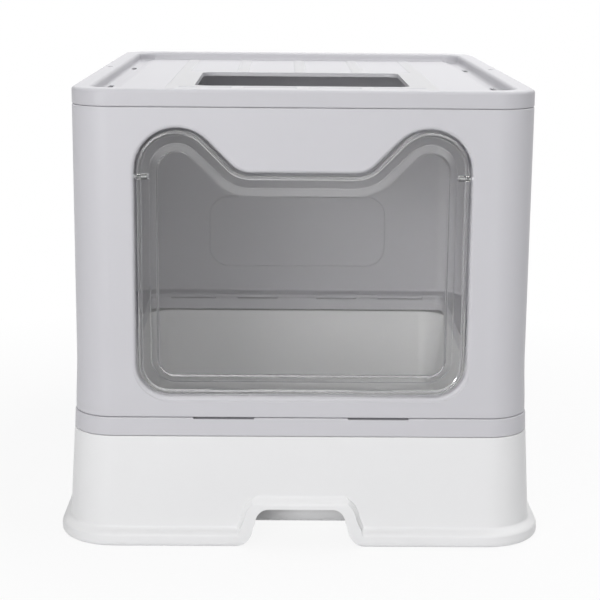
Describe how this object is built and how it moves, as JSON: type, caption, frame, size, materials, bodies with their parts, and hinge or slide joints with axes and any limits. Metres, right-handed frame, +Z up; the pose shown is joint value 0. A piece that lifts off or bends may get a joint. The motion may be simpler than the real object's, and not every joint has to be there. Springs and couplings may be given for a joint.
{
  "type": "cat litter box with hood",
  "caption": "Enclosed cat litter box: pull-out litter pan, panelled hood with a swinging see-through door flap between cat ears, and a lift-off lid with a top exit.",
  "frame": {"origin": "on the floor, under the middle of the litter pan's foot", "axes": "+Z up, door towards -Y, +X to the right of someone facing the door"},
  "size_m": [0.4132, 0.5432, 0.384],
  "materials": {
    "pan_white": "fine satin, moulded",
    "shell_grey": "fine satin, moulded",
    "smoked_clear": "polished, smoked and see-through",
    "pin_clear": "polished, clear"
  },
  "bodies": {
    "pan": {"base_pan": "pan_white"},
    "hood": {"lower_frame": "shell_grey", "front_panel": "shell_grey", "back_panel": "shell_grey", "side_panel_left": "shell_grey", "side_panel_right": "shell_grey"},
    "flap": {"door_flap": "smoked_clear", "flap_pin_left": "pin_clear", "flap_pin_right": "pin_clear"},
    "lid": {"top_lid": "shell_grey"}
  },
  "joints": [
    {"name": "drawer_slide", "type": "slide", "parent": "pan", "child": "hood", "axis": [0, 1, 0], "range_m": [0, 0.4]},
    {"name": "flap_swing", "type": "hinge", "parent": "hood", "child": "flap", "pos_m": [0, -0.2534, 0.3127], "axis": [1, 0, 0], "range_deg": [-75, 75]},
    {"name": "lid_lift", "type": "slide", "parent": "hood", "child": "lid", "axis": [0, 0, 1], "range_m": [0, 0.12]}
  ]
}
